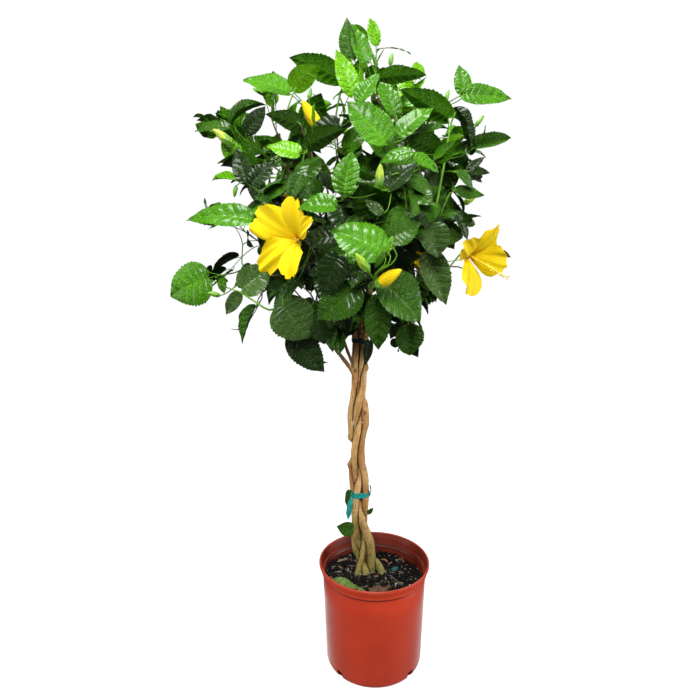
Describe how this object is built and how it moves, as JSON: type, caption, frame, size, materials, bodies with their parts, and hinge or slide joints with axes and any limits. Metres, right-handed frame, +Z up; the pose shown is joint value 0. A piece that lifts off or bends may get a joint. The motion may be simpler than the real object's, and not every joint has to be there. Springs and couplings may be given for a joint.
{
  "type": "potted hibiscus shrub",
  "caption": "Hibiscus grown as a small standard tree: plaited stems, a round leafy crown with yellow blooms, standing in a round red nursery pot.",
  "frame": {"origin": "middle of the pot's flat underside", "axes": "+Z up along the plant, +X to the right and -Y towards the viewer when seen from the front"},
  "size_m": [0.7334, 0.6538, 1.4085],
  "materials": {
    "pot_plastic": "moulded terracotta-red plastic, slightly glossy",
    "potting_mix": "damp black potting mix with perlite and bark",
    "bark": "smooth tan bark",
    "leaf": "glossy green leaves",
    "shoot": "green to brown young shoots",
    "bloom": "soft yellow petals",
    "tie_tape": "stretchy green tie tape"
  },
  "bodies": {
    "root": {"back_low_spray": "leaf", "back_spray": "leaf", "back_tip_spray": "leaf", "core": "leaf", "far_left_spray": "leaf", "front_bloom_spray": "leaf", "front_spray": "leaf", "girdle_1": "leaf", "girdle_2": "leaf", "girdle_3": "leaf", "girdle_4": "leaf", "girdle_5": "leaf", "girdle_6": "leaf", "girdle_7": "leaf", "hanging_left_leaves": "leaf", "hanging_right_leaves": "leaf", "hem_1": "leaf", "hem_2": "leaf", "hem_3": "leaf", "hem_4": "leaf", "inner_left_bough": "bark", "left_bough": "bark", "left_crest_spray": "leaf", "left_spray": "leaf", "lower_left_spray": "leaf", "lower_tie": "tie_tape", "pot": "pot_plastic", "right_bloom_spray": "leaf", "right_crest_spray": "leaf", "right_shoulder_spray": "leaf", "right_spray": "leaf", "right_tip_spray": "leaf", "shoulder_1": "leaf", "shoulder_2": "leaf", "shoulder_3": "leaf", "shoulder_4": "leaf", "shoulder_5": "leaf", "shoulder_6": "leaf", "skirt_1": "leaf", "skirt_2": "leaf", "skirt_3": "leaf", "skirt_4": "leaf", "skirt_5": "leaf", "skirt_6": "leaf", "soil": "potting_mix", "stem_1": "bark", "stem_2": "bark", "stem_3": "bark", "stem_4": "bark", "top_spray": "leaf", "upper_1": "leaf", "upper_2": "leaf", "upper_3": "leaf", "upper_4": "leaf", "upper_left_spray": "leaf", "upper_tie": "tie_tape"}
  },
  "joints": []
}
